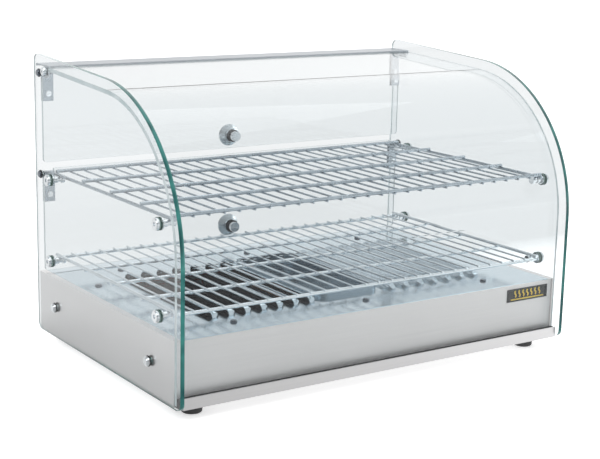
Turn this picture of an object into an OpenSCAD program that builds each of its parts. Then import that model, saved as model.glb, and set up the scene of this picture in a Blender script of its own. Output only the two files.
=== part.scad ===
// Countertop hot food display case: heated louvred base, two wire shelves,
// bent front glass between two glass sides, and two top-hung glass rear doors.
// Origin: centre of the footprint, on the surface that the feet stand on.
// +X is the case's right as seen from the front, +Y the rear, +Z up.

/* [Case] */
// Width across the outer faces of the two side glasses
case_w = 546; // [500:1:600]
// Depth of the side glasses, front edge to rear edge
case_d = 361; // [350:1:380]
// Height of the side glasses at their rear edge
case_h = 342; // [330:1:380]
// Thickness of the side glasses and of the bent front glass
glass_t = 5; // [4:0.5:6]
// Radius of the big front curve of the side glasses
curve_r = 180; // [150:1:185]
// Fall of the top edge towards the front, in degrees
top_fall = 3.3; // [2:0.1:4]
// Radius of the small corners of the side glasses
corner_r = 9; // [5:1:12]
// How far the bent glass sits inside the outline of the side glasses
glass_inset = 12; // [11:0.5:14]

/* [Base] */
// Height of the heated base, without the feet
base_h = 73.5; // [70:0.5:76]
// Thickness of the base's sheet steel
sheet_t = 1.2; // [1:0.1:1.5]
// Height of the feet
foot_h = 14; // [12:1:20]
// Largest diameter of a foot
foot_d = 25; // [20:1:30]
// Height of the channel lip in front of the bent glass
lip_h = 13; // [11:1:15]

/* [Louvres] */
// Louvres in each of the two groups
louvre_n = 7; // [5:1:7]
// Distance from one louvre to the next
louvre_pitch = 21.7; // [21:0.1:22]
// Length of a louvre
louvre_l = 206; // [180:1:210]
// Height of a louvre above the deck
louvre_h = 7; // [5:0.5:8]

/* [Shelves] */
// Height of the upper shelf's studs above the base's bottom
upper_stud_z = 193; // [185:1:200]
// Height of the lower shelf's studs above the base's bottom
lower_stud_z = 93; // [90:1:100]
// Thin wires in a shelf
wire_n = 26; // [20:1:28]
// Diameter of the thin wires
wire_d = 2.2; // [2:0.1:3]
// Diameter of the cross rods
rod_d = 4.2; // [4:0.1:5]

/* [Doors] */
// Thickness of the door glass
door_t = 4; // [4:0.5:5]
// Angle of both doors, 0 is shut
door_open = 0; // [0:5:90]

/* [Hidden] */

$fn = 48;
eps = 0.02;
half_w = case_w / 2;
half_d = case_d / 2;
inner_x = half_w - glass_t;        // inner face of a side glass
gap = 0.6;                         // clearance between parts that pass each other

// big curve: its centre, and the straight top edge that it runs into
arc_y = curve_r;
arc_z = top_z(curve_r) - curve_r / cos(top_fall);
function top_z(y) = case_h - (case_d - y) * tan(top_fall);

// base, measured back from the front edge of the side glasses
lip_y = 4.6;
fascia_y = 19;
panel_y = 340;                     // front face of the recessed rear panel
deck_rear_y = 357;
deck_x = 259.8;
base_side_y = [17.4, 357];
pan_x = 266.5;                      // half the width of the bottom pan and the fascia
panel_x = 266.4;                    // half the width of the rear panel and the rubber channel
base_x = inner_x - 0.1;            // outer face of the base's sides

// rear bar
bar_y = [322, 359];
bar_z = [328, 329.6];
bar_screw = [331, 322.5];
tab_y = [325, 337.5];

// doors
pin_y = 345;
upper_pin_z = 319.5;
lower_pin_z = 197;
upper_door_z = [211, 323.5];
lower_door_z = [76, 203];
door_x = inner_x - 1.5;            // edge of a door
pin_r = 2.5;
pin_end_x = 256;                   // inner end of a hinge pin
clamp_w = 13;
clamp_drop = 34;                   // length of a clamp below its pin
clamp_screw_drop = 25;
clamp_t = 1.5;
notch = [door_x - 253.5, 7];       // cut in the door's top corners, round the clamp's head
door_cut = [pin_y - 5, pin_y + 5];
knob_x = -4;
upper_knob_z = 227;
lower_knob_z = 104;

// shelf studs
stud_front_y = 49;
stud_rear_y = 322;
stud_r = 4;
groove_r = 3;
stud_l = 16;
groove_x = [254, 259.4];
side_rod_d = 4;
side_rod_x = 256.6;
rod_first_y = 39.5;
rod_last_y = 329.2;
rod_n = 5;
weld = 0.6;                        // how far crossing wires sink into each other
side_rod_up = groove_r + side_rod_d / 2 + 0.1;

// fasteners
base_screws = [[70.5, 37.5], [311, 37.5]];
deck_screw_at = [[-180, 49.5], [0, 49.5], [180, 49.5],
    [-180, 312], [0, 312], [180, 312], [-238, 256], [238, 256]];
foot_at = [[-240, 34], [240, 34], [-240, 318], [240, 318]];
foot_bore_r = 2.7;
side_screw_l = 14;                 // reach of a side screw inside the glass's outer face

// louvres and tray
louvre_x = 60;                     // first louvre's centre, left or right of the middle
louvre_y = 72;
louvre_w = 13;
mouth_r = 12;                      // upper corners of a louvre's mouth
tray_x = 44;
tray_y = [80, 276];
tray_r = 14;
tray_rim_h = 5;
tray_depth = 18;
tray_t = 1;
tray_lap = 2.6;                    // how far the tray's rim laps over the deck's opening
deck_cut = [base_h - 13.5, base_h + 6.5];

// rear panel controls
stat_at = [150, 37];
switch_at = [60, 37];
lamp_at = [105, 37];
gland_at = [-200, 30];
rocker_r = 12;
rocker_w = 12;
rocker_tilt = 8;
rocker_y = 336.5;                  // the rocker's own axle, behind the panel's face
rocker_gap = 0.4;
axle_r = 1.5;
axle_l = 1.5;                      // axle stub on each side of the rocker
bezel_y = 3.6;                     // switch bezel's face, out from the panel's face
switch_hole = [19, 28];

// heaters
heater_x = 125;
heater_z = 42;
heater_r = 4;
heater_run = 36;
heater_y = [96, 262];
heater_end_y = 292;
cold_pin_l = 10;                   // bare terminal pin at each end of a heater
bracket_y = [116, 236];
bracket_x = [heater_x - 66, heater_x + 66];
shield_z = 7;
shield_t = 0.8;
shield_y = [28, 330];
stat_l = 24;                       // thermostat body behind the rear panel
lead_w = 2.2;                      // width of the insulated leads

// terminal block
terminal_x = [-232, -172];
terminal_y = 305;
terminal_pitch = 14.5;

// ---- placing: y is counted from the glass's front edge, z from the base's bottom ----

module lift() translate([0, -half_d, foot_h]) children();

module box(x, y, z) lift() translate([x[0], y[0], z[0]])
    cube([x[1] - x[0], y[1] - y[0], z[1] - z[0]]);

module rod_x(r, x, y, z) lift() translate([x[0], y, z])
    rotate([0, 90, 0]) cylinder(r = r, h = x[1] - x[0]);

module rod_y(r, x, y, z) lift() translate([x, y[0], z])
    rotate([-90, 0, 0]) cylinder(r = r, h = y[1] - y[0]);

module rod_z(r, x, y, z) lift() translate([x, y, z[0]])
    cylinder(r = r, h = z[1] - z[0]);

// a YZ outline, extruded along X from x[0] to x[1]
module slab_x(x) lift() translate([x[0], 0, 0]) rotate([90, 0, 90])
    linear_extrude(x[1] - x[0]) children();

// an XZ outline, extruded along Y from y[0] to y[1]
module slab_y(y) lift() translate([0, y[1], 0]) rotate([90, 0, 0])
    linear_extrude(y[1] - y[0]) children();

// an XY outline, extruded along Z from z[0] to z[1]
module slab_z(z) lift() translate([0, 0, z[0]])
    linear_extrude(z[1] - z[0]) children();

module both_sides() {
    children();
    mirror([1, 0, 0]) children();
}

// a turned piece on an axis along +X or -X, with its foot at x
module turned_x(x, y, z, side) lift() translate([side * x, y, z])
    rotate([0, side * 90, 0]) rotate_extrude() children();

// a turned piece on an axis along +Y or -Y, with its foot at y
module turned_y(x, y, z, side) lift() translate([x, y, z])
    rotate([-side * 90, 0, 0]) rotate_extrude() children();

// a turned piece on an axis along Z
module turned_z(x, y, z) lift() translate([x, y, z]) rotate_extrude() children();

// what is cut away to round the corner of a rectangle at the origin
module corner_cut(r) difference() {
    translate([-1, -1]) square(r + 1);
    translate([r, r]) circle(r);
}

module rounded_rect(x, y, r) difference() {
    translate([x[0], y[0]]) square([x[1] - x[0], y[1] - y[0]]);
    translate([x[0], y[0]]) corner_cut(r);
    translate([x[1], y[0]]) rotate(90) corner_cut(r);
    translate([x[1], y[1]]) rotate(180) corner_cut(r);
    translate([x[0], y[1]]) rotate(270) corner_cut(r);
}

// ---- glass ----

// everything behind and below the front curve and top edge, moved inwards by inset
module under_curve(inset) {
    r = curve_r - inset;
    top_in = inset / cos(top_fall);
    beyond = 40;
    difference() {
        polygon([[inset, 0], [inset, top_z(inset) - top_in],
            [case_d, top_z(case_d) - top_in], [case_d, 0]]);
        difference() {
            polygon([[arc_y, arc_z], [inset - beyond, arc_z], [inset - beyond, case_h],
                [arc_y - (r + beyond) * sin(top_fall), arc_z + (r + beyond) * cos(top_fall)]]);
            translate([arc_y, arc_z]) circle(r, $fn = 180);
        }
    }
}

module rear_top_cut() {
    r = corner_r;
    cy = case_d - r;
    cz = top_z(cy) - r / cos(top_fall);
    difference() {
        polygon([[cy, cz], [cy - 3 * r * sin(top_fall), cz + 3 * r * cos(top_fall)],
            [case_d + r, cz + 3 * r], [case_d + r, cz]]);
        translate([cy, cz]) circle(r);
    }
}

module side_outline() difference() {
    under_curve(0);
    corner_cut(corner_r);
    translate([case_d, 0]) rotate(90) corner_cut(corner_r);
    rear_top_cut();
    for (y = [stud_front_y, stud_rear_y], z = [upper_stud_z, lower_stud_z])
        translate([y, z]) circle(4);
    for (p = base_screws) translate(p) circle(3.5);
    translate(bar_screw) circle(3);
    for (z = [upper_pin_z, lower_pin_z]) translate([pin_y, z]) circle(4);
}

module side_glass() color([0.80, 0.92, 0.90, 0.35])
    slab_x([inner_x, half_w]) side_outline();

module right_side_glass() side_glass();
module left_side_glass() mirror([1, 0, 0]) side_glass();

module curved_front_glass() color([0.82, 0.94, 0.93, 0.35])
    slab_x([-inner_x + gap, inner_x - gap]) intersection() {
        difference() {
            under_curve(glass_inset);
            under_curve(glass_inset + glass_t);
        }
        translate([0, 3]) square([bar_y[0] + 2, case_h]);
    }

// rubber channel that the bent glass stands in
module front_glass_seal() color([0.07, 0.07, 0.08]) {
    inside = glass_inset + glass_t;
    x = [-panel_x, panel_x];
    box(x, [lip_y + sheet_t + 0.1, glass_inset - 0.1], [sheet_t, lip_h - 0.8]);
    box(x, [glass_inset - 0.1, inside + 0.2], [sheet_t, 3]);
    box(x, [inside + 0.2, fascia_y - 0.2], [sheet_t, lip_h - 3]);
}

// ---- rear bar ----

module top_rear_bar() color([0.80, 0.81, 0.82]) difference() {
    union() {
        box([-inner_x + gap, inner_x - gap], bar_y, bar_z);
        box([-inner_x + gap, inner_x - gap], [bar_y[1] - 1.2, bar_y[1]], [326.6, bar_z[1]]);
        both_sides() box([inner_x - gap - 2, inner_x - gap], tab_y, [315, bar_z[1]]);
    }
    rod_x(2.3, [-half_w, half_w], bar_screw[0], bar_screw[1]);
}

module bar_screws() color([0.88, 0.88, 0.89]) both_sides()
    difference() {
        turned_x(half_w - side_screw_l, bar_screw[0], bar_screw[1], 1) {
            square([2, side_screw_l]);
            translate([0, side_screw_l]) square([5, 2.2]);
            translate([0, side_screw_l + 2.2]) square([4.2, 0.8]);
        }
        hex_socket(half_w + 3.1, bar_screw[0], bar_screw[1], 2.6);
    }

module bar_nuts() color([0.72, 0.73, 0.74]) both_sides()
    hex_nut_x(inner_x - gap - 6, bar_screw[0], bar_screw[1], 3.6, 4, 2.1);

// hexagon recess in the outer end of a screw along X
module hex_socket(x, y, z, af) lift() translate([x - 1.6, y, z])
    rotate([0, 90, 0]) cylinder(d = af / cos(30), h = 2, $fn = 6);

module hex_nut_x(x, y, z, r, h, bore) difference() {
    lift() translate([x, y, z]) rotate([0, 90, 0]) cylinder(r = r, h = h, $fn = 6);
    rod_x(bore, [x - 1, x + h + 1], y, z);
}

// ---- base ----

module bottom_pan() color([0.78, 0.78, 0.79]) difference() {
    union() {
        box([-pan_x, pan_x], [lip_y, deck_rear_y], [0, sheet_t]);
        box([-pan_x, pan_x], [lip_y, lip_y + sheet_t], [0, lip_h]);
    }
    for (p = foot_at) rod_z(foot_bore_r, p[0], p[1], [-1, 3]);
}

module fascia_panel() color([0.82, 0.82, 0.83])
    box([-pan_x, pan_x], [fascia_y, fascia_y + sheet_t], [sheet_t, base_h - sheet_t - 0.1]);

module base_side() color([0.80, 0.80, 0.81]) difference() {
    union() {
        box([base_x - sheet_t, base_x], base_side_y, [0, base_h]);
        box([base_x - 8, base_x], base_side_y, [base_h - sheet_t, base_h]);
    }
    for (p = base_screws) rod_x(3.2, [200, half_w], p[0], p[1]);
}

module right_base_side() base_side();
module left_base_side() mirror([1, 0, 0]) base_side();

module rear_panel() color([0.78, 0.78, 0.79]) difference() {
    through = [panel_y - 1, panel_y + sheet_t + 1];
    box([-panel_x, panel_x], [panel_y, panel_y + sheet_t], [sheet_t, base_h - sheet_t - 0.1]);
    rod_y(5, stat_at[0], through, stat_at[1]);
    rod_y(5.2, lamp_at[0], through, lamp_at[1]);
    rod_y(8, gland_at[0], through, gland_at[1]);
    box([switch_at[0] - switch_hole[0] / 2, switch_at[0] + switch_hole[0] / 2], through,
        [switch_at[1] - switch_hole[1] / 2, switch_at[1] + switch_hole[1] / 2]);
}

// outline of one hood: flat top over the open side, sinking to the deck behind it
module hood_section(h, inside) {
    back = louvre_w - 2.5;
    r = (back * back + h * h) / (2 * h);
    intersection() {
        translate([-2.5, h - r]) circle(r - inside, $fn = 96);
        translate([-2.5, -inside]) square([louvre_w, h]);
    }
}

// one louvre hood, open towards -X; its mouth and its low side have round ends
module hood() difference() {
    hood_solid(0);
    hood_solid(0.9);
}

module hood_solid(inset) intersection() {
    slab_y([louvre_y, louvre_y + louvre_l]) translate([0, base_h]) hood_section(louvre_h, inset);
    slab_z([base_h - 1 - inset, base_h + 20]) hood_plan(inset);
    slab_x([-5, louvre_w]) hood_mouth(inset);
}

// plan of a hood: its ends are rounded towards the low side
module hood_plan(inset) {
    r = louvre_w - inset;
    x0 = -3.5;
    translate([x0, louvre_y + r + inset]) square([r, louvre_l - 2 * r - 2 * inset]);
    for (e = [louvre_y + r + inset, louvre_y + louvre_l - r - inset])
        intersection() {
            translate([x0, e]) circle(r);
            translate([x0, e - r]) square([r, 2 * r]);
        }
}

// elevation of a hood's mouth: its upper corners are round
module hood_mouth(inset) {
    y = [louvre_y + inset, louvre_y + louvre_l - inset];
    top = base_h + louvre_h - inset;
    difference() {
        translate([y[0], base_h - 4]) square([y[1] - y[0], top - base_h + 4]);
        translate([y[0], top]) rotate(270) corner_cut(mouth_r - inset);
        translate([y[1], top]) rotate(180) corner_cut(mouth_r - inset);
    }
}

function louvre_centres() = [for (i = [0:louvre_n - 1]) -louvre_x - i * louvre_pitch];

module deck_plate() color([0.74, 0.77, 0.80]) {
    difference() {
        union() {
            box([-deck_x, deck_x], [fascia_y + eps, deck_rear_y], [base_h - sheet_t, base_h]);
            box([-deck_x, deck_x], [deck_rear_y - sheet_t, deck_rear_y], [62, base_h]);
        }
        both_sides() for (x = louvre_centres())
            box([x - 2.5, x + 7], [louvre_y + 4, louvre_y + louvre_l - 4], deck_cut);
        slab_z(deck_cut) tray_plan(tray_lap);
        for (p = deck_screw_at) rod_z(2.3, p[0], p[1], deck_cut);
    }
    both_sides() for (x = louvre_centres()) translate([x, 0, 0]) hood();
}

module deck_rails() color([0.70, 0.71, 0.72]) difference() {
    z = [base_h - 2 * sheet_t - 0.1, base_h - sheet_t - 0.1];
    union() {
        box([-225, 225], [fascia_y + sheet_t, 58], z);
        box([-225, 225], [fascia_y + sheet_t, fascia_y + 2 * sheet_t], [50, z[1]]);
        box([-225, 225], [303, panel_y], z);
        box([-225, 225], [panel_y - sheet_t, panel_y], [62, z[1]]);
        both_sides() {
            box([230, base_x - sheet_t], [80, 280], z);
            box([base_x - 2 * sheet_t, base_x - sheet_t], [80, 280], [54, z[1]]);
        }
    }
    for (p = deck_screw_at) rod_z(2.05, p[0], p[1], deck_cut);
}

module deck_screws() color([0.25, 0.27, 0.30]) for (p = deck_screw_at)
    turned_z(p[0], p[1], base_h - 9) {
        square([2, 9]);
        translate([0, 9]) square([4, 1.4]);
        translate([0, 10.4]) square([3, 0.8]);
    }

module water_tray() color([0.76, 0.80, 0.83]) {
    rim_z = [base_h, base_h + tray_rim_h];
    in = [3.4, tray_depth];
    difference() {
        union() {
            slab_z(rim_z) tray_plan(0);
            slab_z([base_h - in[1], rim_z[1]]) tray_plan(in[0]);
        }
        difference() {
            slab_z([base_h - 1, rim_z[1] - tray_t]) tray_plan(tray_t);
            slab_z([base_h - 2, rim_z[1]]) tray_plan(in[0]);
        }
        slab_z([base_h - in[1] + tray_t, rim_z[1] + 1]) tray_plan(in[0] + tray_t);
    }
}

module tray_plan(inset) rounded_rect([-tray_x + inset, tray_x - inset],
    [tray_y[0] + inset, tray_y[1] - inset], tray_r - inset);

module base_side_screws() color([0.85, 0.85, 0.86]) both_sides() for (p = base_screws)
    turned_x(half_w - side_screw_l, p[0], p[1], 1) {
        head = side_screw_l + 1;
        square([2.5, head]);
        translate([0, head]) square([5.6, 1.8]);
        translate([0, head + 1.8]) square([4.9, 0.9]);
        translate([0, head + 2.7]) square([3.6, 0.5]);
    }

module base_side_washers() color([0.35, 0.37, 0.38]) both_sides() for (p = base_screws)
    difference() {
        rod_x(6, [half_w, half_w + 1], p[0], p[1]);
        rod_x(2.8, [half_w - 1, half_w + 2], p[0], p[1]);
    }

module base_side_nuts() color([0.72, 0.73, 0.74]) both_sides() for (p = base_screws)
    hex_nut_x(base_x - sheet_t - 4, p[0], p[1], 4.6, 4, 2.6);

module feet() color([0.13, 0.13, 0.14]) for (p = foot_at) difference() {
    turned_z(p[0], p[1], -foot_h) {
        polygon([[0, 0], [foot_d / 2 - 2, 0], [foot_d / 2 - 1, 1], [foot_d / 2, foot_h - 3],
            [foot_d / 2 - 0.6, foot_h - 0.8], [foot_d / 2 - 1.4, foot_h], [0, foot_h]]);
    }
    rod_z(5.5, p[0], p[1], [-foot_h - 1, -8]);
    rod_z(foot_bore_r, p[0], p[1], [-foot_h, 1]);
}

module foot_screws() color([0.66, 0.67, 0.68]) for (p = foot_at)
    turned_z(p[0], p[1], -11) {
        square([4.6, 3]);
        square([2.4, 17]);
    }

module foot_nuts() color([0.72, 0.73, 0.74]) for (p = foot_at) difference() {
    lift() translate([p[0], p[1], sheet_t]) cylinder(r = 4.6, h = 4, $fn = 6);
    rod_z(2.5, p[0], p[1], [0, 8]);
}

// ---- shelves ----

module at_studs() both_sides()
    for (y = [stud_front_y, stud_rear_y], z = [upper_stud_z, lower_stud_z])
        translate([0, y - half_d, z + foot_h]) children();

module stud_part() rotate([0, -90, 0]) rotate_extrude() children();

module shelf_studs() color([0.84, 0.85, 0.86]) at_studs() {
    foot_x = inner_x - 1;
    groove = [foot_x - groove_x[1], foot_x - groove_x[0]];
    translate([foot_x, 0, 0]) stud_part() difference() {
        union() {
            square([6.2, 1.6]);
            square([stud_r, groove[0]]);
            square([groove_r, stud_l]);
            translate([0, groove[1]]) square([4.5, stud_l - groove[1]]);
        }
        square([2.55, 9]);
    }
}

module shelf_stud_screws() color([0.90, 0.91, 0.92]) at_studs() difference() {
    translate([half_w + 4.4, 0, 0]) stud_part() {
        square([5.8, 0.7]);
        translate([0, 0.7]) square([6.8, 2.7]);
        translate([0, 3.4]) square([2.5, 14]);
    }
    translate([half_w + 2.6, 0, 0]) rotate([0, 90, 0])
        cylinder(d = 4.2 / cos(30), h = 3, $fn = 6);
}

module shelf_stud_washers() color([0.35, 0.55, 0.50]) at_studs() {
    for (x = [half_w + 1, inner_x]) difference() {
        translate([x, 0, 0]) stud_part() square([7.2, 1]);
        translate([x + 1, 0, 0]) stud_part() square([2.6, 4]);
    }
}

function rod_y_at(i) = rod_first_y + i * (rod_last_y - rod_first_y) / (rod_n - 1);

// a welded wire shelf; side is 1 with the cross rods above the wires, -1 below them
module wire_shelf(stud_z, side) {
    z_side = stud_z + side_rod_up;
    z_rod = z_side + side * (side_rod_d + rod_d - 2 * weld) / 2;
    z_wire = z_rod - side * (rod_d + wire_d - 2 * weld) / 2;
    over = rod_d / 2 + 0.3;
    along = [rod_first_y - over, rod_last_y + over];
    step = 2 * side_rod_x / (wire_n + 1);
    both_sides() rod_y(side_rod_d / 2, side_rod_x, along, z_side);
    for (i = [0:rod_n - 1])
        rod_x(rod_d / 2, [-side_rod_x - 0.5, side_rod_x + 0.5], rod_y_at(i), z_rod);
    for (i = [1:wire_n]) rod_y(wire_d / 2, i * step - side_rod_x, along, z_wire);
}

module upper_shelf() color([0.82, 0.84, 0.86]) wire_shelf(upper_stud_z, 1);
module lower_shelf() color([0.82, 0.84, 0.86]) wire_shelf(lower_stud_z, -1);

// ---- doors ----

module at_pins(z) both_sides() translate([0, pin_y - half_d, z + foot_h]) children();

module hinge_pins() color([0.86, 0.87, 0.88]) for (z = [upper_pin_z, lower_pin_z])
    at_pins(z) translate([half_w + 3.4, 0, 0]) stud_part() {
        square([3.2, 0.8]);
        translate([0, 0.8]) square([4, 1.4]);
        square([pin_r, half_w + 3.4 - pin_end_x]);
    }

module hinge_bushes() color([0.08, 0.08, 0.09]) for (z = [upper_pin_z, lower_pin_z])
    at_pins(z) difference() {
        translate([half_w + 1.2, 0, 0]) stud_part() {
            square([5, 1.2]);
            square([3.9, glass_t + 1.8]);
        }
        translate([half_w + 2, 0, 0]) stud_part() square([pin_r + 0.05, 9]);
    }

module swing(pin_z) translate([0, pin_y - half_d, pin_z + foot_h])
    rotate([door_open, 0, 0]) translate([0, half_d - pin_y, -pin_z - foot_h]) children();

module door_glass(z, pin_z, knob_z) swing(pin_z) color([0.84, 0.93, 0.93, 0.35])
    difference() {
        slab_y([pin_y - door_t / 2, pin_y + door_t / 2])
            rounded_rect([-door_x, door_x], z, 4);
        both_sides() box([door_x - notch[0], door_x + 1], door_cut,
            [pin_z - notch[1], z[1] + 1]);
        both_sides() rod_y(2.4, door_x - clamp_w / 2, door_cut, pin_z - clamp_screw_drop);
        rod_y(3, knob_x, door_cut, knob_z);
    }

// pivot head with the pin's bore, and two plates that grip the glass below it
module door_clamps(pin_z) swing(pin_z) color([0.80, 0.82, 0.83]) difference() {
    x = [door_x - clamp_w, door_x];
    half_t = door_t / 2 + clamp_t;
    union() both_sides() {
        box(x, [pin_y - half_t, pin_y + half_t], [pin_z - notch[1] + 0.2, pin_z + 3]);
        for (y = [pin_y - half_t, pin_y + door_t / 2])
            box(x, [y, y + clamp_t], [pin_z - clamp_drop, pin_z + 1]);
    }
    both_sides() rod_x(pin_r + 0.05, [pin_end_x - 2, half_w], pin_y, pin_z);
    both_sides() rod_y(2.2, door_x - clamp_w / 2, door_cut, pin_z - clamp_screw_drop);
}

module door_clamp_screws(pin_z) swing(pin_z) color([0.74, 0.76, 0.77]) both_sides() {
    half_t = door_t / 2 + clamp_t;
    difference() {
        turned_y(door_x - clamp_w / 2, pin_y + half_t + 1.2, pin_z - clamp_screw_drop, -1) {
            square([2, 2 * half_t + 1.4]);
            translate([0, 2 * half_t + 1.2]) square([3.6, 0.9]);
            translate([0, 2 * half_t + 2.1]) square([2.8, 0.5]);
        }
        box([door_x - clamp_w / 2 - 5, door_x - clamp_w / 2 + 5],
            [pin_y - half_t - 2, pin_y - half_t - 0.7],
            [pin_z - clamp_screw_drop - 0.4, pin_z - clamp_screw_drop + 0.4]);
    }
    difference() {
        turned_y(door_x - clamp_w / 2, pin_y + half_t, pin_z - clamp_screw_drop, 1)
            square([3.4, 1.6]);
        rod_y(2.05, door_x - clamp_w / 2, [pin_y, pin_y + 9], pin_z - clamp_screw_drop);
    }
}

// turned knob outside the door: neck, then a wide domed head
module door_knob(pin_z, knob_z) swing(pin_z) color([0.86, 0.87, 0.88]) difference() {
    y0 = pin_y + door_t / 2 + 1;
    intersection() {
        turned_y(knob_x, y0, knob_z, 1)
            polygon([[0, 0], [8, 0], [7, 2.2], [6.8, 4.4], [11, 5.8], [14.6, 7.4], [15, 8.8],
                [14.4, 10.4], [12, 11.8], [8, 12.6], [0, 12.9]]);
        lift() translate([knob_x, y0 - 17, knob_z]) sphere(30, $fn = 64);
    }
    rod_y(2.55, knob_x, [y0 - 1, y0 + 8], knob_z);
}

module door_knob_washers(pin_z, knob_z) swing(pin_z) color([0.12, 0.12, 0.13])
    for (y = [pin_y - door_t / 2 - 1, pin_y + door_t / 2]) difference() {
        rod_y(8.4, knob_x, [y, y + 1], knob_z);
        rod_y(2.8, knob_x, [y - 1, y + 2], knob_z);
    }

// flat-headed screw inside the door, with a slot
module door_knob_screw(pin_z, knob_z) swing(pin_z) color([0.78, 0.79, 0.80]) difference() {
    y0 = pin_y - door_t / 2 - 1;
    union() {
        turned_y(knob_x, y0, knob_z, -1) {
            square([6.8, 6.2]);
            translate([0, 6.2]) square([6, 0.7]);
        }
        rod_y(2.5, knob_x, [y0 - 1, y0 + door_t + 2 + 7], knob_z);
    }
    box([knob_x - 9, knob_x + 9], [y0 - 8, y0 - 5.9], [knob_z - 0.7, knob_z + 0.7]);
}

module upper_door() door_glass(upper_door_z, upper_pin_z, upper_knob_z);
module upper_door_clamps() door_clamps(upper_pin_z);
module upper_door_clamp_screws() door_clamp_screws(upper_pin_z);
module upper_door_knob() door_knob(upper_pin_z, upper_knob_z);
module upper_door_knob_washers() door_knob_washers(upper_pin_z, upper_knob_z);
module upper_door_knob_screw() door_knob_screw(upper_pin_z, upper_knob_z);
module lower_door() door_glass(lower_door_z, lower_pin_z, lower_knob_z);
module lower_door_clamps() door_clamps(lower_pin_z);
module lower_door_clamp_screws() door_clamp_screws(lower_pin_z);
module lower_door_knob() door_knob(lower_pin_z, lower_knob_z);
module lower_door_knob_washers() door_knob_washers(lower_pin_z, lower_knob_z);
module lower_door_knob_screw() door_knob_screw(lower_pin_z, lower_knob_z);

// ---- heating ----

// half of a tube ring in a level plane, open towards +Y or -Y
module bend(x, y, side) lift() translate([x, y, heater_z]) intersection() {
    rotate_extrude() translate([heater_run / 2, 0]) circle(heater_r);
    translate([-40, side > 0 ? -40 : 0, -10]) cube([80, 40, 20]);
}

module heater() {
    for (i = [0:3]) {
        x = heater_x + (i - 1.5) * heater_run;
        outer = i == 0 || i == 3;
        rod_y(heater_r, x, [heater_y[0], outer ? heater_end_y : heater_y[1]], heater_z);
        if (outer) rod_y(1.6, x, [heater_end_y - 1, heater_end_y + cold_pin_l], heater_z);
    }
    for (s = [-1, 1]) bend(heater_x + s * heater_run, heater_y[0], 1);
    bend(heater_x, heater_y[1], -1);
}

module heating_elements() color([0.42, 0.38, 0.36]) both_sides() heater();

module element_brackets() color([0.70, 0.71, 0.72]) both_sides() for (y = bracket_y)
    difference() {
        union() {
            box(bracket_x, [y, y + 1], [shield_z + shield_t, heater_z + 8]);
            box(bracket_x, [y, y + 12], [shield_z + shield_t, shield_z + shield_t + 1]);
        }
        for (i = [0:3])
            rod_y(heater_r + 0.1, heater_x + (i - 1.5) * heater_run, [y - 1, y + 2], heater_z);
    }

module heat_shield() color([0.83, 0.84, 0.85]) {
    box([-258, 258], shield_y, [shield_z, shield_z + shield_t]);
    both_sides() box([258 - shield_t, 258], shield_y, [sheet_t, shield_z + shield_t]);
}

// ---- controls ----

module thermostat_body() color([0.60, 0.58, 0.55]) difference() {
    union() {
        rod_y(17, stat_at[0], [panel_y - stat_l, panel_y], stat_at[1]);
        rod_y(4.8, stat_at[0], [panel_y - 1, panel_y + 3.2], stat_at[1]);
    }
    rod_y(3.05, stat_at[0], [panel_y - 12, panel_y + 5], stat_at[1]);
}

module thermostat_shaft() color([0.75, 0.75, 0.76])
    rod_y(3, stat_at[0], [panel_y - 11, panel_y + 14], stat_at[1]);

module thermostat_knob() color([0.10, 0.10, 0.11]) difference() {
    y0 = panel_y + 3.8;
    union() {
        turned_y(stat_at[0], y0, stat_at[1], 1)
            polygon([[0, 0], [17, 0], [17, 2.4], [14, 3.2], [13.2, 13.6], [12.4, 14.4],
                [0, 14.4]]);
        box([stat_at[0] - 1, stat_at[0] + 1], [y0 + 2, y0 + 14.9],
            [stat_at[1] + 6, stat_at[1] + 14.4]);
    }
    rod_y(3.03, stat_at[0], [y0 - 1, panel_y + 14.3], stat_at[1]);
}

// sensing bulb under the deck, and the fine tube that joins it to the thermostat
module thermostat_bulb() color([0.72, 0.45, 0.30]) {
    bulb = [36, 60];
    rod_y(3.5, -52, [150, 210], bulb[1]);
    wire([[-52, 209, bulb[1]], [-52, 296, bulb[1]], [stat_at[0], 296, bulb[1]],
        [stat_at[0], 310, 44], [stat_at[0], panel_y - stat_l, 44]], 0.9);
}

module switch_housing() color([0.11, 0.11, 0.12]) difference() {
    x = switch_at[0];
    z = switch_at[1];
    body = [switch_hole[0] / 2 - 0.3, switch_hole[1] / 2 - 0.3];
    well = [x - rocker_w / 2 - rocker_gap, x + rocker_w / 2 + rocker_gap];
    well_r = rocker_r + rocker_gap;
    axle_x = rocker_w / 2 + axle_l + 0.5;
    union() {
        box([x - body[0], x + body[0]], [panel_y - 18, panel_y + 2], [z - body[1], z + body[1]]);
        box([x - 12, x + 12], [panel_y + sheet_t, panel_y + bezel_y], [z - 17, z + 17]);
    }
    rod_x(well_r, well, rocker_y, z);
    box(well, [rocker_y, panel_y + 9], [z - well_r, z + well_r]);
    rod_x(axle_r + 0.05, [x - axle_x, x + axle_x], rocker_y, z);
}

// rocker with a shallow V face, shown switched off
module switch_rocker() color([0.75, 0.10, 0.08]) {
    x = switch_at[0];
    face = panel_y + bezel_y - rocker_y;
    lift() translate([0, rocker_y, switch_at[1]]) rotate([rocker_tilt, 0, 0]) {
        translate([x - rocker_w / 2, 0, 0]) rotate([90, 0, 90]) linear_extrude(rocker_w)
            intersection() {
                circle(rocker_r, $fn = 96);
                polygon([[-2.5, -rocker_r], [face + 3, -rocker_r], [face, 0],
                    [face + 3, rocker_r], [-2.5, rocker_r]]);
            }
        translate([x - rocker_w / 2 - axle_l, 0, 0]) rotate([0, 90, 0])
            cylinder(r = axle_r, h = rocker_w + 2 * axle_l);
    }
}

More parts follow.
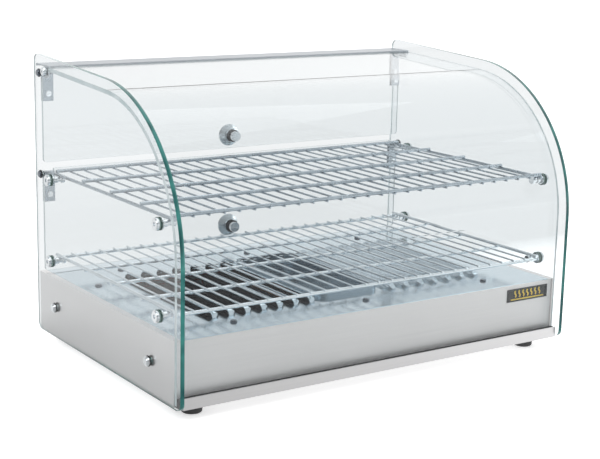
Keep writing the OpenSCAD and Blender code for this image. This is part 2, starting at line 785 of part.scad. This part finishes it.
module pilot_lamp() color([0.95, 0.55, 0.10]) {
    rod_y(4.9, lamp_at[0], [panel_y - 20, panel_y + sheet_t + eps], lamp_at[1]);
    turned_y(lamp_at[0], panel_y + sheet_t, lamp_at[1], 1)
        polygon([[0, 0], [6.5, 0], [6.5, 1.4], [5.2, 2], [4.4, 4.6], [3, 6], [0, 6.6]]);
}

module terminal_block() color([0.90, 0.89, 0.84]) difference() {
    box(terminal_x, [terminal_y - 9, terminal_y + 9], [shield_z + shield_t, 28]);
    for (i = [0:3]) rod_z(2.4, terminal_x[0] + terminal_pitch * (i + 0.6), terminal_y, [20, 29]);
}

module cable_gland() color([0.09, 0.09, 0.10]) difference() {
    x = gland_at[0];
    z = gland_at[1];
    union() {
        rod_y(7.7, x, [panel_y - 12, panel_y + 4], z);
        rod_y(11, x, [panel_y + sheet_t, panel_y + 6], z);
        rod_y(9, x, [panel_y + 5, panel_y + 16], z);
        lift() translate([x, panel_y - 6, z]) rotate([-90, 0, 0])
            cylinder(r = 12, h = 6, $fn = 6);
    }
    rod_y(4, x, [panel_y - 14, panel_y + 18], z);
}

// a tube through a list of points, with a rounded sleeve at each bend
module wire(p, r) for (i = [0:len(p) - 2]) {
    v = p[i + 1] - p[i];
    lift() translate(p[i]) rotate([0, acos(v[2] / norm(v)), atan2(v[1], v[0])])
        cylinder(r = r, h = norm(v), $fn = 16);
    if (i > 0) lift() translate(p[i]) sphere(1.25 * r, $fn = 24);
}

function lead_span(a, b, w) = [min(a, b) - w / 2, max(a, b) + w / 2];

// an insulated lead of width w whose stretches all run along X, Y or Z
module lead(p, w) for (i = [0:len(p) - 2])
    box(lead_span(p[i][0], p[i + 1][0], w), lead_span(p[i][1], p[i + 1][1], w),
        lead_span(p[i][2], p[i + 1][2], w));

module internal_wiring() {
    w = lead_w;
    clamp_at = [for (i = [0:3]) terminal_x[0] + terminal_pitch * (i + 0.6)];
    near_x = -heater_x + 1.5 * heater_run;
    far_x = -heater_x - 1.5 * heater_run;
    tip_y = heater_end_y + cold_pin_l + 1.2;
    switch_tab_y = panel_y - 19.2;
    color([0.70, 0.12, 0.10]) lead([[clamp_at[1], terminal_y, 27], [clamp_at[1], terminal_y, 56],
        [switch_at[0] + 4, terminal_y, 56], [switch_at[0] + 4, terminal_y, 42],
        [switch_at[0] + 4, switch_tab_y, 42]], w);
    color([0.12, 0.30, 0.65]) lead([[clamp_at[2], terminal_y, 27], [clamp_at[2], terminal_y, 50],
        [near_x, terminal_y, 50], [near_x, terminal_y, heater_z], [near_x, tip_y, heater_z]], w);
    color([0.12, 0.30, 0.65]) lead([[clamp_at[3], terminal_y, 27],
        [clamp_at[3], terminal_y, heater_z], [far_x, terminal_y, heater_z],
        [far_x, tip_y, heater_z]], w);
    color([0.55, 0.35, 0.20]) lead([[switch_at[0] - 4, switch_tab_y, 32],
        [switch_at[0] - 4, 310, 32], [stat_at[0] - 8, 310, 32],
        [stat_at[0] - 8, panel_y - stat_l - 1.2, 32]], w);
}

module badge() color([0.05, 0.05, 0.05])
    box([193, 259], [fascia_y - 0.8, fascia_y], [51, 67]);

left_side_glass();
right_side_glass();
curved_front_glass();
front_glass_seal();
top_rear_bar();
bar_screws();
bar_nuts();
bottom_pan();
fascia_panel();
left_base_side();
right_base_side();
rear_panel();
deck_plate();
deck_rails();
deck_screws();
water_tray();
base_side_screws();
base_side_washers();
base_side_nuts();
feet();
foot_screws();
foot_nuts();
shelf_studs();
shelf_stud_screws();
shelf_stud_washers();
upper_shelf();
lower_shelf();
hinge_pins();
hinge_bushes();
upper_door();
upper_door_clamps();
upper_door_clamp_screws();
upper_door_knob();
upper_door_knob_washers();
upper_door_knob_screw();
lower_door();
lower_door_clamps();
lower_door_clamp_screws();
lower_door_knob();
lower_door_knob_washers();
lower_door_knob_screw();
heating_elements();
element_brackets();
heat_shield();
thermostat_body();
thermostat_bulb();
thermostat_shaft();
thermostat_knob();
switch_housing();
switch_rocker();
pilot_lamp();
terminal_block();
cable_gland();
internal_wiring();
badge();
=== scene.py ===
import math

import bpy
from mathutils import Matrix, Vector


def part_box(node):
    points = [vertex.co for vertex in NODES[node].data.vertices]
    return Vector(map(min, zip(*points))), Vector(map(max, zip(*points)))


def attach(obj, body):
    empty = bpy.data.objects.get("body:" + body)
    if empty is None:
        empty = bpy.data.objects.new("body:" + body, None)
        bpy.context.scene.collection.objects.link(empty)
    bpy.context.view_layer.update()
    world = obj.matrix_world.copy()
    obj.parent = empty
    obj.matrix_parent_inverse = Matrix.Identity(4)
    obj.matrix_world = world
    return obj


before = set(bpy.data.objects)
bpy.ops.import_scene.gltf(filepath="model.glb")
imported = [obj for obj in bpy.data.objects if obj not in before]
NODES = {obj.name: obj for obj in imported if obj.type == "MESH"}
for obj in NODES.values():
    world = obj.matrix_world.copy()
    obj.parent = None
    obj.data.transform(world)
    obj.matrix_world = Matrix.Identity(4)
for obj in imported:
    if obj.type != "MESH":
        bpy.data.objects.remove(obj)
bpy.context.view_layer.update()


# ---------------------------------------------------------------- helpers

def rgb(r, g, b):
    return (r, g, b, 1.0)


def grey(value):
    return rgb(value, value, value)


WHITE = grey(1.0)


def put_in_scene(name, data):
    """A new object in the scene that holds that mesh, text, light or camera."""
    obj = bpy.data.objects.new(name, data)
    bpy.context.scene.collection.objects.link(obj)
    return obj


class Tree:
    """A material's node tree, with short ways to add nodes to it."""

    def __init__(self, name):
        self.mat = bpy.data.materials.new(name)
        self.mat.use_nodes = True
        self.nodes = self.mat.node_tree.nodes
        self.links = self.mat.node_tree.links
        self.nodes.clear()
        self.out = self.nodes.new("ShaderNodeOutputMaterial")
        self.coords = self.nodes.new("ShaderNodeTexCoord")

    def put(self, value, socket):
        """Links a socket, or sets a plain value."""
        if isinstance(value, bpy.types.NodeSocket):
            self.links.new(value, socket)
        else:
            socket.default_value = value

    def add(self, kind, result=0, settings=None, **inputs):
        """Adds a node and returns one of its outputs. An input is given by its name, or by
        its place as i0, i1 and so on."""
        node = self.nodes.new(kind)
        for key, value in (settings or {}).items():
            setattr(node, key, value)
        for key, value in inputs.items():
            which = int(key[1:]) if key[1:].isdigit() else key.replace("_", " ")
            self.put(value, node.inputs[which])
        return node.outputs[result]

    def part(self, axis, source="Object"):
        """One axis of the place on the object, in metres, or of the Normal."""
        return self.add("ShaderNodeSeparateXYZ", axis, i0=self.coords.outputs[source])

    def noise(self, per_metre, detail=2.0):
        """Noise with that many cells to a metre: one number, or a list with one per axis."""
        scales = per_metre if isinstance(per_metre, list) else [per_metre] * 3
        place = self.add("ShaderNodeMapping", i0=self.coords.outputs["Object"], i3=scales)
        return self.add("ShaderNodeTexNoise", i0=place, Scale=1.0, Detail=detail)

    def span(self, value, low, high, to_low=0.0, to_high=1.0):
        """Maps low..high to to_low..to_high, and holds it at the ends."""
        return self.add("ShaderNodeMapRange", i0=value, i1=low, i2=high,
                        i3=to_low, i4=to_high)

    def math(self, what, a, b=0.0):
        return self.add("ShaderNodeMath", 0, {"operation": what}, i0=a, i1=b)

    def mix(self, share, a, b):
        """Mixes two colours."""
        return self.add("ShaderNodeMix", 2, {"data_type": "RGBA"}, i0=share, i6=a, i7=b)

    def bump(self, height, distance, strength):
        return self.add("ShaderNodeBump", Strength=strength, Distance=distance, Height=height)

    def surface(self, **inputs):
        """Adds a Principled shader, joins it to the output and returns its own output."""
        shader = self.add("ShaderNodeBsdfPrincipled", **inputs)
        self.links.new(shader, self.out.inputs["Surface"])
        return shader

    def swap(self, ray, usual, other):
        """Shows other, instead of the usual shader, to rays of that kind."""
        is_ray = self.add("ShaderNodeLightPath", ray)
        shown = self.add("ShaderNodeMixShader", Fac=is_ray, i1=usual, i2=other)
        self.links.new(shown, self.out.inputs["Surface"])


# ---------------------------------------------------------------- materials

GLASS_IOR = 1.5
GLASS_MIRROR = rgb(0.40, 0.41, 0.42)     # turns down what the panes mirror when seen face-on
EDGE_ROUGHNESS = 0.16
EDGE_CLARITY = 0.1                       # how much light the ground edges let through
EDGE_PALE = rgb(0.62, 0.69, 0.70)        # the edges' colour towards the rear
PALE_FROM_TO = (0.03, 0.15)              # metres behind the middle, where that sets in
EDGE_TO_FACE = (0.90, 0.96)              # how squarely a face looks along its axis
EDGE_TO_ARRIS = (0.20, 0.40)             # the same, for the ground arris
CLEAR = rgb(0.905, 0.930, 0.940)
SMOKE = rgb(0.870, 0.892, 0.900)

MOST_NOISE = (0.3, 0.7)                  # nearly all of a noise lies between these
MID_NOISE = (0.35, 0.65)                 # the middle of it, for more contrast
FINE_BUMP = 0.000002                     # metres, on metal


def glass(name, find_faces, edge_dark, edge_light, tint):
    """Clear pane. find_faces(tree) gives 1 on its two faces, 0 on its edges and about 0.7 on
    the narrow arris ground between them. Its edge is paler towards the rear."""
    t = Tree(name)
    side = find_faces(t)
    face = t.span(side, *EDGE_TO_FACE)
    ground = t.span(side, *EDGE_TO_ARRIS)
    core = t.mix(t.span(t.noise(35), 0.40, 0.65), edge_dark, edge_light)
    edge = t.mix(t.span(t.part("Y"), *PALE_FROM_TO), t.mix(ground, core, edge_light),
                 EDGE_PALE)
    pane = t.surface(
        Base_Color=t.mix(face, edge, tint),
        Roughness=t.span(face, 0.0, 1.0, EDGE_ROUGHNESS, 0.0),
        Transmission_Weight=t.span(face, 0.0, 1.0, EDGE_CLARITY, 1.0),
        Specular_Tint=GLASS_MIRROR,
        IOR=GLASS_IOR)
    t.swap("Is Shadow Ray", pane, t.add("ShaderNodeBsdfTransparent", Color=tint))
    return t.mat


def across(t, axis):
    """How squarely the surface faces along that object axis, to either side."""
    return t.math("ABSOLUTE", t.part(axis, "Normal"))


def flat_pane(axis):
    """Finds the faces of a flat pane that looks along axis."""
    return lambda t: across(t, axis)


def bent_pane(t):
    """Finds the bent glass's faces: all but its two ends and its rear edge."""
    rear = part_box("curved_front_glass")[1].y
    end = t.span(across(t, "X"), 0.30, 0.60)
    rear_edge = t.span(t.part("Y"), rear - 0.0003, rear - 0.0001)
    return t.math("SUBTRACT", 1.0, t.math("MAXIMUM", end, rear_edge))


def shades(colour, darker, lighter, lift=0.0):
    """A colour's darker and lighter tones, by those shares of it. The lift shows on near
    blacks."""
    dark = rgb(*[c * (1 - darker) for c in colour])
    light = rgb(*[min(1.0, c * (1 + lighter) + lift) for c in colour])
    return dark, light


def streaks(grain, across_it, along_it):
    """Noise scales that draw lines along the grain axis."""
    scales = [across_it] * 3
    scales["XYZ".index(grain)] = along_it
    return scales


def brushed(name, grain, colour, roughness, metallic):
    """Satin stainless sheet, brushed along the grain axis, with faint handling marks."""
    contrast, swing = 0.025, 0.05        # of the colour and of the roughness
    t = Tree(name)
    lines = t.noise(streaks(grain, 1400.0, 9.0))
    bands = t.noise(streaks(grain, 260.0, 3.0))
    marks = t.noise(7, detail=3.0)
    both = t.math("ADD", t.math("MULTIPLY", lines, 0.6), t.math("MULTIPLY", bands, 0.4))
    t.surface(
        Base_Color=t.mix(t.span(both, *MID_NOISE), *shades(colour, contrast, contrast)),
        Metallic=metallic,
        Roughness=t.math("ADD",
                         t.span(both, *MOST_NOISE, roughness - swing, roughness + swing),
                         t.span(marks, *MOST_NOISE, -0.03, 0.04)),
        Normal=t.bump(lines, FINE_BUMP, 0.25))
    return t.mat


def polished(name, colour, roughness, mottling, clouds):
    """Bright metal with faint cloudy wear."""
    t = Tree(name)
    cloud = t.noise(clouds, detail=4.0)
    t.surface(
        Base_Color=t.mix(t.span(cloud, *MID_NOISE), *shades(colour, mottling * 2, mottling)),
        Metallic=1.0,
        Roughness=t.span(cloud, *MOST_NOISE, roughness * 0.7, roughness * 1.4),
        Normal=t.bump(t.noise(900), FINE_BUMP, 0.2))
    return t.mat


def moulded(name, colour, roughness, grain, depth, through=0.0):
    """Moulded plastic, rubber or ceramic with a fine grain. It lets that much light
    through."""
    t = Tree(name)
    fine = t.noise(grain, detail=3.0)
    cloud = t.noise(25, detail=3.0)
    t.surface(
        Base_Color=t.mix(t.span(cloud, *MOST_NOISE), *shades(colour, 0.2, 0.15, 0.004)),
        Roughness=t.span(fine, *MOST_NOISE, roughness * 0.85, min(1.0, roughness * 1.15)),
        Transmission_Weight=through,
        Normal=t.bump(fine, depth, 0.6))
    return t.mat


# name: (how its faces are found, edge's dark tone, edge's light tone, tint)
GLASS = {
    "side_glass": (flat_pane("X"), rgb(0.008, 0.070, 0.070), rgb(0.035, 0.200, 0.180), CLEAR),
    "bent_glass": (bent_pane, rgb(0.60, 0.70, 0.71), rgb(0.85, 0.90, 0.91), SMOKE),
    "door_glass": (flat_pane("Y"), rgb(0.50, 0.60, 0.61), rgb(0.66, 0.74, 0.75), SMOKE),
}
# name: (grain axis, colour, roughness, metallic)
# the stainless sheet's tones are set part by part: the fascia's pale, part-metallic copy is
# painted light, the darker copy on the bottom pan and rear panel is painted shade
BRUSHED = {
    "brushed_steel_x": ("X", (0.60, 0.598, 0.602), 0.34, 1.0),
    "brushed_steel_fascia": ("X", (0.90, 0.870, 0.858), 0.42, 0.35),
    "brushed_steel_y": ("Y", (0.785, 0.755, 0.745), 0.34, 1.0),
    "brushed_steel_bar": ("X", (0.46, 0.49, 0.52), 0.34, 1.0),
}
# name: (colour, roughness, mottling, clouds to a metre)
POLISHED = {
    "deck_steel": ((0.57, 0.65, 0.70), 0.13, 0.02, 9.0),
    "tray_steel": ((0.42, 0.49, 0.54), 0.18, 0.03, 20.0),
    "zinc_steel": ((0.34, 0.37, 0.41), 0.34, 0.08, 120.0),
    "bright_steel": ((0.72, 0.75, 0.77), 0.14, 0.02, 60.0),
    "satin_steel": ((0.38, 0.43, 0.47), 0.26, 0.04, 60.0),
    "dark_screw": ((0.20, 0.22, 0.25), 0.22, 0.05, 60.0),
    # the two shelves are one chrome in two copies: the upper one darker as painted shade, the
    # lower one paler as painted light
    "chrome_upper": ((0.43, 0.48, 0.52), 0.24, 0.05, 40.0),
    "chrome_lower": ((0.74, 0.79, 0.82), 0.16, 0.05, 40.0),
    "shield_aluminium": ((0.07, 0.09, 0.135), 0.40, 0.05, 30.0),
    "heater_sheath": ((0.030, 0.038, 0.060), 0.42, 0.25, 45.0),
    "copper_tube": ((0.55, 0.30, 0.20), 0.30, 0.08, 80.0),
    "thermostat_case": ((0.50, 0.47, 0.40), 0.36, 0.08, 90.0),
}
# name: (colour, roughness, grain's cells to a metre, grain's depth in metres, light let through)
MOULDED = {
    "black_rubber": ((0.030, 0.030, 0.032), 0.62, 450.0, 0.00004),
    "black_nylon": ((0.022, 0.022, 0.025), 0.38, 450.0, 0.00004),
    "black_plastic": ((0.018, 0.018, 0.020), 0.28, 700.0, 0.00002),
    "red_plastic": ((0.55, 0.018, 0.012), 0.18, 700.0, 0.00001),
    "amber_lens": ((0.85, 0.30, 0.02), 0.10, 300.0, 0.00001, 0.4),
    "terminal_ceramic": ((0.72, 0.68, 0.58), 0.24, 200.0, 0.00004),
    "lead_insulation": ((0.42, 0.05, 0.04), 0.45, 450.0, 0.00004),
    "green_washer": ((0.24, 0.36, 0.33), 0.20, 300.0, 0.00001, 0.4),
    "badge_black": ((0.004, 0.004, 0.004), 0.5, 900.0, 0.00001),
    "badge_yellow": ((0.92, 0.62, 0.03), 0.30, 900.0, 0.00001),
    "dial_ink": ((0.02, 0.02, 0.022), 0.5, 900.0, 0.00001),
}
MATERIALS = {}
for make, table in ((glass, GLASS), (brushed, BRUSHED), (polished, POLISHED),
                    (moulded, MOULDED)):
    for name, row in table.items():
        MATERIALS[name] = make(name, *row)

FINISH = {
    "left_side_glass": "side_glass", "right_side_glass": "side_glass",
    "curved_front_glass": "bent_glass", "front_glass_seal": "black_rubber",
    "top_rear_bar": "brushed_steel_bar", "bar_screws": "bright_steel",
    "bar_nuts": "zinc_steel",
    "bottom_pan": "brushed_steel_x", "fascia_panel": "brushed_steel_fascia",
    "rear_panel": "brushed_steel_x",
    "left_base_side": "brushed_steel_y", "right_base_side": "brushed_steel_y",
    "deck_plate": "deck_steel", "deck_rails": "zinc_steel", "deck_screws": "dark_screw",
    "water_tray": "tray_steel",
    "base_side_screws": "bright_steel", "base_side_washers": "black_rubber",
    "base_side_nuts": "zinc_steel",
    "feet": "black_rubber", "foot_screws": "zinc_steel", "foot_nuts": "zinc_steel",
    "shelf_studs": "bright_steel", "shelf_stud_screws": "bright_steel",
    "shelf_stud_washers": "green_washer",
    "upper_shelf": "chrome_upper", "lower_shelf": "chrome_lower",
    "hinge_pins": "dark_screw", "hinge_bushes": "black_nylon",
    "heating_elements": "heater_sheath", "element_brackets": "zinc_steel",
    "heat_shield": "shield_aluminium",
    "thermostat_body": "thermostat_case", "thermostat_bulb": "copper_tube",
    "thermostat_shaft": "zinc_steel", "thermostat_knob": "black_plastic",
    "switch_housing": "black_plastic", "switch_rocker": "red_plastic",
    "pilot_lamp": "amber_lens", "terminal_block": "terminal_ceramic",
    "cable_gland": "black_nylon", "internal_wiring": "lead_insulation",
    "badge": "badge_black",
}
for door in ("upper_door", "lower_door"):
    FINISH[door] = "door_glass"
    FINISH[door + "_clamps"] = "satin_steel"
    FINISH[door + "_clamp_screws"] = "bright_steel"
    FINISH[door + "_knob"] = "bright_steel"
    FINISH[door + "_knob_washers"] = "black_rubber"
    FINISH[door + "_knob_screw"] = "bright_steel"

for name, node in NODES.items():
    node.data.materials.clear()
    node.data.materials.append(MATERIALS[FINISH[name]])


# ---------------------------------------------------------------- softened edges

ARRIS = 0.0008           # the chamfer ground along the side glasses' edges
TRAY_RIM = 0.0010        # the rounding of the pressed tray's bends
WELD = 0.000001


def soften(node, name, width, segments, angle):
    """Bevels every edge that turns by more than angle, in degrees."""
    bevel = node.modifiers.new(name, "BEVEL")
    bevel.width = width
    bevel.segments = segments
    bevel.limit_method = "ANGLE"
    bevel.angle_limit = math.radians(angle)


for name in ("left_side_glass", "right_side_glass"):
    NODES[name].modifiers.new("weld", "WELD").merge_threshold = WELD
    soften(NODES[name], "arris", ARRIS, segments=1, angle=40)
soften(NODES["water_tray"], "soft_rim", TRAY_RIM, segments=3, angle=50)


# ---------------------------------------------------------------- badge mark and dial scale

def add_piece(name, mesh, material, body):
    """Makes a piece of a mesh, riding on that body, with that material."""
    piece = put_in_scene(name, mesh)
    mesh.materials.clear()
    mesh.materials.append(material)
    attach(piece, body)


def ribbons(name, lines, y_back, y_front):
    """A mesh of raised ribbons between two Y planes. Each line is the ribbon's width and the
    (x, z) points along its middle."""
    verts, faces = [], []
    for width, points in lines:
        start, last = len(verts), len(points) - 1
        for i, (x, z) in enumerate(points):
            a, b = points[max(i - 1, 0)], points[min(i + 1, last)]
            dx, dz = b[0] - a[0], b[1] - a[1]
            size = math.hypot(dx, dz)
            nx, nz = -dz / size * width / 2, dx / size * width / 2
            verts += [(x + nx, y_back, z + nz), (x - nx, y_back, z - nz),
                      (x - nx, y_front, z - nz), (x + nx, y_front, z + nz)]
        for p in range(start, start + 4 * last, 4):
            for k in range(4):
                n = (k + 1) % 4
                faces.append((p + k, p + n, p + 4 + n, p + 4 + k))
        end = start + 4 * last
        faces.append((start + 3, start + 2, start + 1, start))
        faces.append((end, end + 1, end + 2, end + 3))
    mesh = bpy.data.meshes.new(name)
    mesh.from_pydata(verts, [], faces)
    mesh.validate()
    mesh.update()
    return mesh


def badge_mark():
    """A generic mark in yellow on the badge: rising steam over a warming plate."""
    waves, pitch, sway, steps = 7, 0.0066, 0.0011, 16
    wave_foot, wave_height, wave_width = 0.0026, 0.0082, 0.0019
    plate_inset, plate_drop, plate_width = 0.006, 0.0052, 0.0015
    sunk, proud = 0.00005, 0.00012
    low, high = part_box("badge")
    x_mid, z_mid = (low.x + high.x) / 2, (low.z + high.z) / 2
    lines = []
    for i in range(waves):
        x = x_mid + (i - (waves - 1) / 2) * pitch
        lines.append((wave_width, [(x + sway * math.sin(2 * math.pi * k / steps),
                                    z_mid - wave_foot + wave_height * k / steps)
                                   for k in range(steps + 1)]))
    plate_z = z_mid - plate_drop
    lines.append((plate_width, [(low.x + plate_inset, plate_z),
                                (high.x - plate_inset, plate_z)]))
    mesh = ribbons("badge_mark", lines, low.y + sunk, low.y - proud)
    add_piece("badge_mark", mesh, MATERIALS["badge_yellow"], "cabinet")


def number_mesh(number, size, half_thick):
    """A raised number, centred on the origin and facing +Z."""
    text = bpy.data.curves.new("dial_number", "FONT")
    text.body = number
    text.size = size
    text.extrude = half_thick
    text.align_x, text.align_y = "CENTER", "CENTER"
    carrier = put_in_scene("dial_number", text)
    bpy.context.view_layer.update()
    mesh = bpy.data.meshes.new_from_object(
        carrier.evaluated_get(bpy.context.evaluated_depsgraph_get()))
    bpy.data.objects.remove(carrier)
    return mesh


def dial_scale():
    """Tick marks and numbers printed round the thermostat's knob."""
    numbers = ("30", "40", "50", "60", "70", "80", "90")
    first, sweep = 225.0, 270.0                      # degrees
    ticks, long_every = 19, 3
    tick_from, tick_to, long_tick_to = 0.0182, 0.0196, 0.0206
    thin, thick = 0.0004, 0.0006
    number_radius, number_size = 0.0234, 0.0044
    sunk, half_thick = 0.00002, 0.00004
    low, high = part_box("thermostat_shaft")
    x_mid, z_mid = (low.x + high.x) / 2, (low.z + high.z) / 2
    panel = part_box("rear_panel")[1].y

    def spot(step, steps, radius):
        """The scale's (x, z) at that step. It rises clockwise as seen from behind, where +X
        is to the left."""
        angle = math.radians(first - sweep * step / steps)
        return x_mid - radius * math.cos(angle), z_mid + radius * math.sin(angle)

    lines = []
    for i in range(ticks):
        width, tip = (thin, tick_to) if i % long_every else (thick, long_tick_to)
        lines.append((width, [spot(i, ticks - 1, tick_from), spot(i, ticks - 1, tip)]))
    mesh = ribbons("dial_ticks", lines, panel - sunk, panel + 2 * half_thick)
    add_piece("dial_ticks", mesh, MATERIALS["dial_ink"], "cabinet")

    facing_rear = Matrix.Rotation(math.pi, 4, "Z") @ Matrix.Rotation(math.pi / 2, 4, "X")
    for i, number in enumerate(numbers):
        x, z = spot(i, len(numbers) - 1, number_radius)
        mesh = number_mesh(number, number_size, half_thick)
        mesh.transform(Matrix.Translation((x, panel + half_thick, z)) @ facing_rear)
        add_piece("dial_number_" + number, mesh, MATERIALS["dial_ink"], "cabinet")


badge_mark()
dial_scale()


# ---------------------------------------------------------------- floor, light, camera

def floor():
    """A pale floor. What metal and glass mirror of it is a painted reflection, shown only to
    glossy
    rays: in front of the case it has painted shade close to its left side and painted light
    to the right. Behind the case it is even."""
    half_side, drop = 14.0, 0.0002
    glow = 0.52
    # metres to the right of the case's middle, up to reach, and the painted brightness mirrored
    # there: painted shade near the case's left side, painted light further out
    reach = 1.0
    painted_reflection_stops = [(-0.60, 1.10), (-0.42, 1.02), (-0.29, 0.70), (-0.24, 0.84), (0.05, 1.02),
             (0.38, 1.50)]
    even_from, even_to = 0.19, 0.30                  # metres behind its middle
    t = Tree("floor")
    lit = t.surface(Base_Color=t.mix(t.noise(3), grey(0.93), grey(0.95)), Roughness=0.9,
                    Specular_IOR_Level=0.1, Emission_Color=WHITE, Emission_Strength=glow)
    shade = t.nodes.new("ShaderNodeValToRGB")
    t.links.new(t.span(t.part("X"), -reach, reach), shade.inputs[0])
    ramp = shade.color_ramp
    ramp.elements.remove(ramp.elements[1])
    for i, (x, value) in enumerate(painted_reflection_stops):
        place = (x + reach) / (2 * reach)
        stop = ramp.elements.new(place) if i else ramp.elements[0]
        stop.position = place
        stop.color = grey(value)
    # glossy rays see this painted reflection: the ramp's painted shade and light in front of the
    # case, plain white behind it
    mirrored = t.mix(t.span(t.part("Y"), even_from, even_to), shade.outputs[0], WHITE)
    t.swap("Is Glossy Ray", lit, t.add("ShaderNodeEmission", Color=mirrored, Strength=1.0))
    mesh = bpy.data.meshes.new("floor")
    corners = [(-half_side, -half_side, -drop), (half_side, -half_side, -drop),
               (half_side, half_side, -drop), (-half_side, half_side, -drop)]
    mesh.from_pydata(corners, [], [(0, 1, 2, 3)])
    piece = put_in_scene("floor", mesh)
    mesh.materials.append(t.mat)


def studio():
    """Soft sky: brightest to the right, then overhead and behind, and darkest to the left."""
    level = 0.68
    gain = (0.48, 0.14, 0.20)                        # to the right, behind and overhead
    world = bpy.data.worlds.new("studio")
    bpy.context.scene.world = world
    world.use_nodes = True
    nodes, links = world.node_tree.nodes, world.node_tree.links
    coords = nodes.new("ShaderNodeTexCoord")
    lean = nodes.new("ShaderNodeVectorMath")
    lean.operation = "DOT_PRODUCT"
    lean.inputs[1].default_value = gain
    links.new(coords.outputs["Generated"], lean.inputs[0])
    total = nodes.new("ShaderNodeMath")
    total.operation = "ADD"
    total.inputs[1].default_value = level
    links.new(lean.outputs["Value"], total.inputs[0])
    background = nodes["Background"]
    background.inputs["Color"].default_value = WHITE
    links.new(total.outputs[0], background.inputs["Strength"])


def lamp(name, at, aim, size, power, mirrored):
    """A soft rectangular lamp. Unless mirrored, it lights the case but no glass or metal
    mirrors it."""
    data = bpy.data.lights.new(name, "AREA")
    data.shape = "RECTANGLE"
    data.size, data.size_y = size
    data.energy = power
    obj = put_in_scene(name, data)
    obj.location = at
    obj.rotation_euler = (Vector(aim) - Vector(at)).to_track_quat("-Z", "Y").to_euler()
    obj.visible_glossy = mirrored


def camera():
    """The camera at the photograph's viewing angle."""
    at = (-0.95083, -1.38994, 0.52412)
    yaw, pitch, roll = math.radians(34.2518), math.radians(12.6753), math.radians(1.3026)
    sensor, lens = 36.0, 84.02
    ahead = Vector((math.sin(yaw) * math.cos(pitch), math.cos(yaw) * math.cos(pitch),
                    -math.sin(pitch)))
    level = Vector((math.cos(yaw), -math.sin(yaw), 0))
    upright = level.cross(ahead)
    right = math.cos(roll) * level + math.sin(roll) * upright
    up = math.cos(roll) * upright - math.sin(roll) * level
    data = bpy.data.cameras.new("camera")
    data.sensor_width = sensor
    data.lens = lens
    data.clip_start, data.clip_end = 0.05, 60.0
    obj = put_in_scene("camera", data)
    facing = Matrix((right, up, -ahead)).transposed().to_4x4()
    obj.matrix_world = Matrix.Translation(at) @ facing
    bpy.context.scene.camera = obj


floor()
studio()
lamp("key", at=(-1.6, -1.2, 2.2), aim=(0, 0, 0.15), size=(1.6, 1.6), power=22, mirrored=True)
lamp("top", at=(0.3, 0.4, 2.4), aim=(0, 0, 0.1), size=(2.0, 2.0), power=16, mirrored=False)
lamp("right", at=(2.4, -0.8, 1.1), aim=(0, 0, 0.15), size=(1.0, 1.8), power=10,
     mirrored=False)
bpy.context.scene.view_settings.view_transform = "Standard"
camera()
